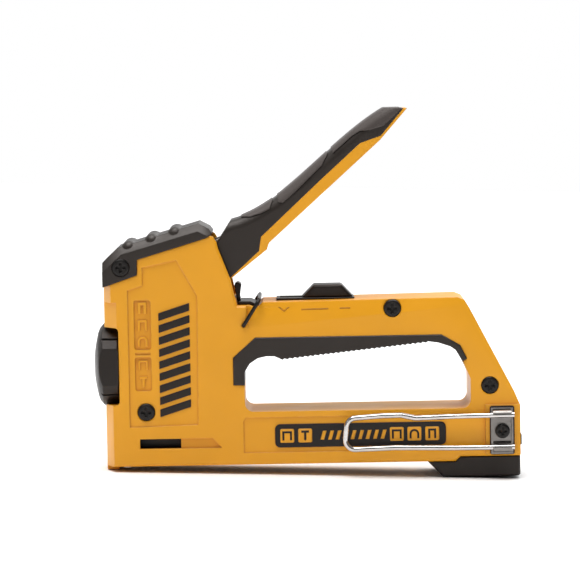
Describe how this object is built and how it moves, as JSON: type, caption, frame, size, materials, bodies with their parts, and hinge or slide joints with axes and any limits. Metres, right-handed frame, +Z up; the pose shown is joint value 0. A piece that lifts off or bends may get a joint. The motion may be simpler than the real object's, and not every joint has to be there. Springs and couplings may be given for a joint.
{
  "type": "hand staple gun",
  "caption": "Hand-operated staple gun with a raised squeeze lever, slotted grip, front selector dial, belt hook and slide-out magazine.",
  "frame": {"origin": "centre of the nose pad's bottom face, where the tool meets the work", "axes": "+Z up along the driver blade, +X from the nose to the rear foot, -Y towards the belt hook side"},
  "size_m": [0.1998, 0.0432, 0.1725],
  "materials": {
    "yellow_plastic": "satin moulded",
    "black_rubber": "soft touch",
    "grey_rubber": "soft touch",
    "black_plastic": "matte",
    "label_black": "printed film",
    "black_steel": "black oxide",
    "plain_steel": "plain",
    "spring_steel": "oiled",
    "zinc_steel": "zinc plated",
    "chrome_wire": "polished"
  },
  "bodies": {
    "body": {"housing_near": "yellow_plastic", "housing_far": "yellow_plastic", "bumper_cap": "black_rubber", "housing_screws": "black_steel", "housing_nuts": "black_steel", "cap_screws": "black_steel", "grip_insert": "black_rubber", "bail_liner": "black_plastic", "slider_track": "black_plastic", "label_near": "label_black", "label_far": "label_black", "hook_bracket": "zinc_steel", "belt_hook": "chrome_wire", "hook_screw": "black_steel", "nose_pad": "yellow_plastic", "nose_guide": "plain_steel", "blade_guides": "plain_steel", "lever_pin": "plain_steel", "striker_buffer": "black_rubber", "spring_anchor": "plain_steel", "selector_spindle": "plain_steel", "magazine_rails": "black_steel"},
    "lever": {"lever": "yellow_plastic", "lever_grip": "black_rubber", "lever_pads": "grey_rubber", "lever_arm": "plain_steel", "roller_pin": "plain_steel", "lever_roller": "plain_steel"},
    "striker": {"striker_block": "plain_steel", "driver_blade": "plain_steel", "power_spring": "spring_steel"},
    "dial": {"selector_dial": "black_plastic", "dial_cap": "black_plastic"},
    "slider": {"power_slider": "black_plastic", "slider_cleat": "plain_steel"},
    "bail": {"lock_bail": "black_steel"},
    "magazine": {"magazine_core": "plain_steel", "rear_foot": "black_plastic", "magazine_latch": "black_plastic", "pusher_rod": "plain_steel"},
    "pusher": {"staple_pusher": "black_plastic", "staple_strip": "zinc_steel"}
  },
  "joints": [
    {"name": "lever_hinge", "type": "hinge", "parent": "body", "child": "lever", "pos_m": [0.042, 0, 0.097], "axis": [0, 1, 0], "range_deg": [0, 36], "stiffness_Nm_per_rad": 2.5, "springref_deg": -17.19},
    {"name": "striker_slide", "type": "slide", "parent": "body", "child": "striker", "axis": [0, 0, 1], "range_m": [0, 0.0154], "deforming": ["power_spring"]},
    {"name": "dial_turn", "type": "hinge", "parent": "body", "child": "dial", "pos_m": [0, 0, 0.0488], "axis": [-1, 0, 0], "range_deg": [0, 270]},
    {"name": "slider_slide", "type": "slide", "parent": "body", "child": "slider", "axis": [-1, 0, 0], "range_m": [0, 0.01]},
    {"name": "bail_swing", "type": "hinge", "parent": "body", "child": "bail", "pos_m": [0.0623, 0, 0.0674], "axis": [0, -1, 0], "range_deg": [0, 12]},
    {"name": "magazine_slide", "type": "slide", "parent": "body", "child": "magazine", "axis": [1, 0, 0], "range_m": [0, 0.09]},
    {"name": "pusher_slide", "type": "slide", "parent": "magazine", "child": "pusher", "axis": [1, 0, 0], "range_m": [0, 0.1], "stiffness_N_per_m": 15, "springref_m": -0.08}
  ],
  "couplings": [
    {"joint": "striker_slide", "follows": "lever_hinge", "m_per_rad": 0.024323}
  ]
}
